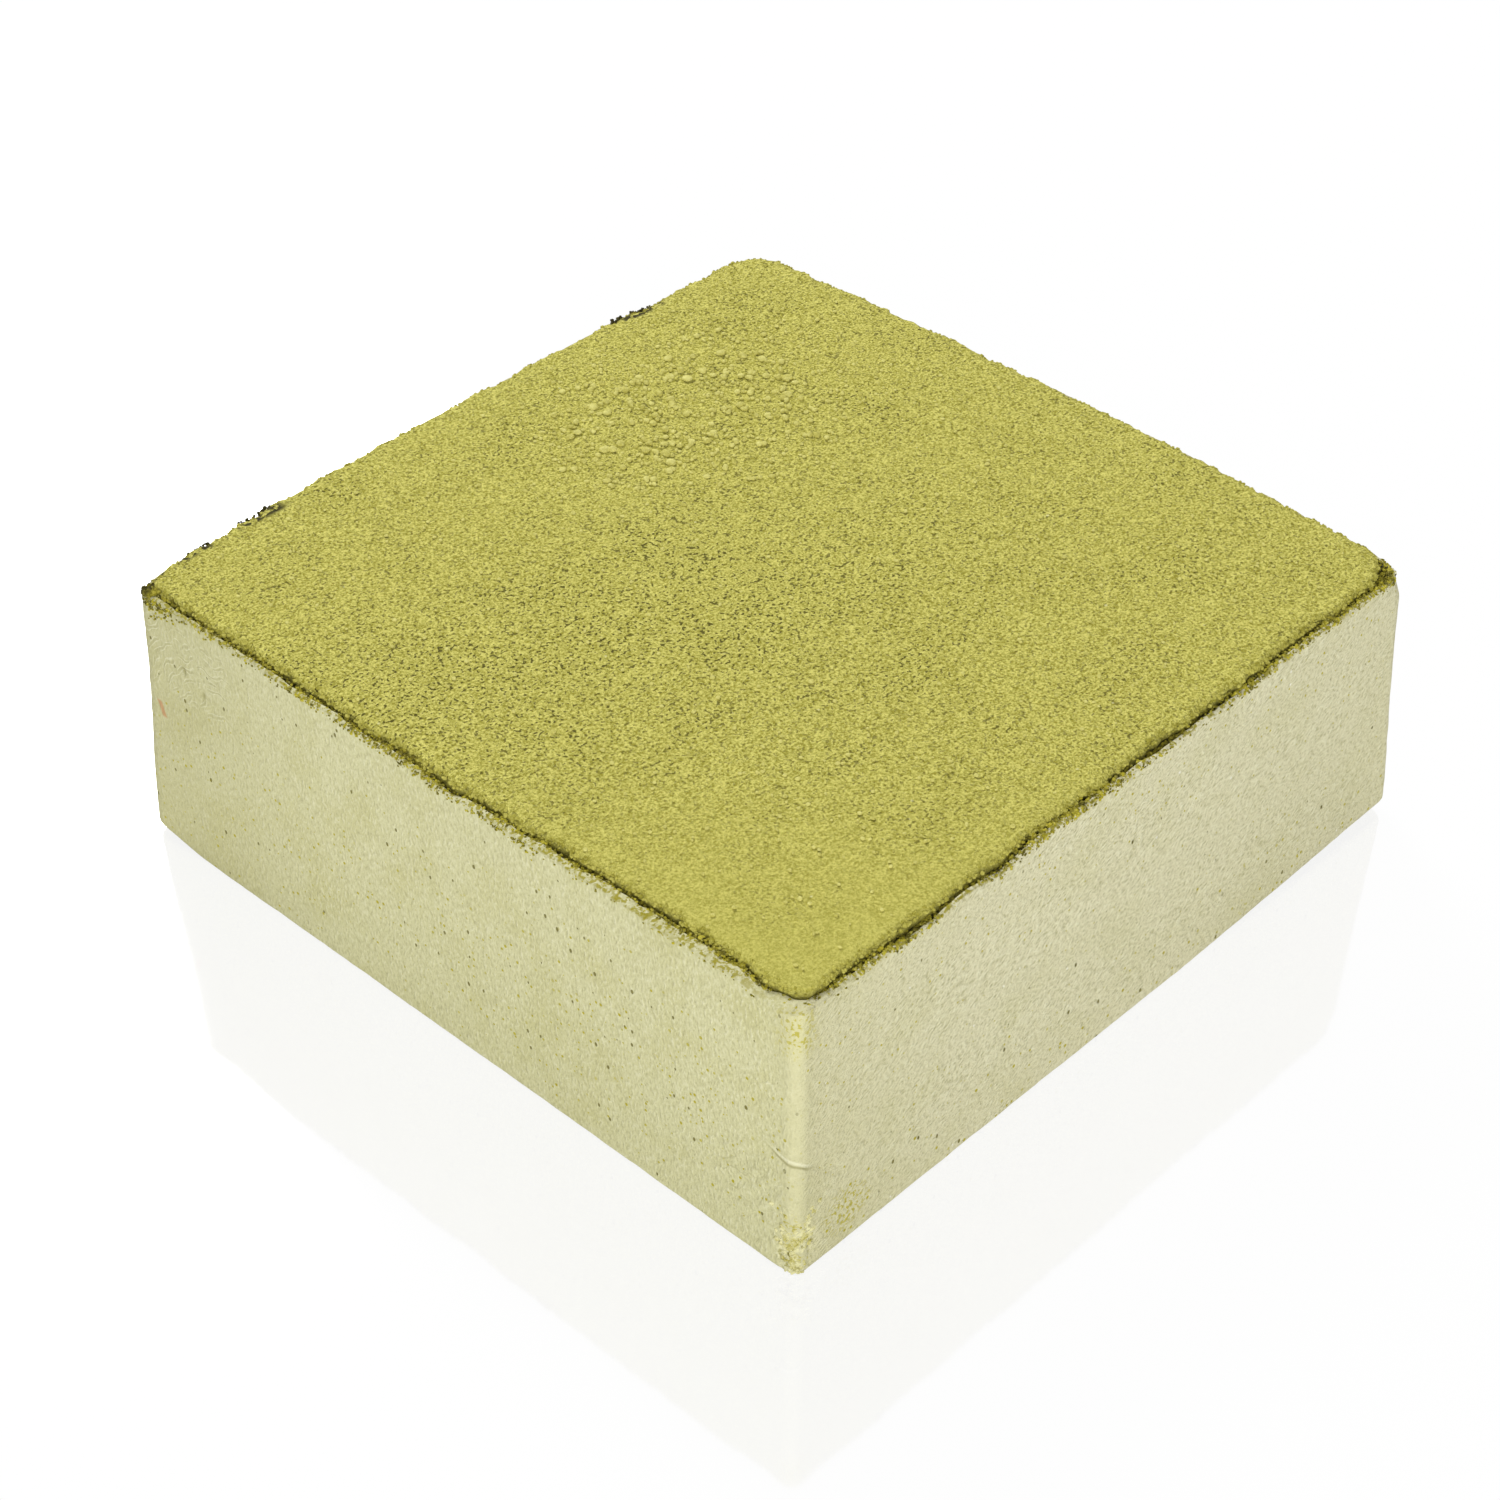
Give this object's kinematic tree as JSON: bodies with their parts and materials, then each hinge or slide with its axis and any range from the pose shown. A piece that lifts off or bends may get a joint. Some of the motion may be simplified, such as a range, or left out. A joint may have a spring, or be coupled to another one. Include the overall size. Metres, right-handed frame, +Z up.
{
  "type": "tinted charcoal block",
  "caption": "Square block of pressed, tinted drawing charcoal: a powdery face, an open dark seam round it, crumbs of pigment, and pale moulded sides.",
  "frame": {"origin": "centre of the resting face", "axes": "+Z up through the drawing face, -Y to the front side, -X to the left side; the right (+X) and back (+Y) sides bow outwards"},
  "size_m": [0.07, 0.07, 0.0248],
  "materials": {
    "moulded_skin": "pale, smooth, dry moulded pigment with fine pits",
    "dark_core": "dark olive pressed pigment, broken and matt",
    "powder_face": "yellow-green powder, grainy and dead matt",
    "face_crumb": "yellow-green crumbs, matt",
    "rim_crumb": "olive-yellow crumbs, matt"
  },
  "bodies": {
    "root": {"base_skin": "moulded_skin", "side_skin": "moulded_skin", "core_block": "dark_core", "face_layer": "powder_face", "face_crumbs": "face_crumb", "rim_crumbs": "rim_crumb"}
  },
  "joints": []
}
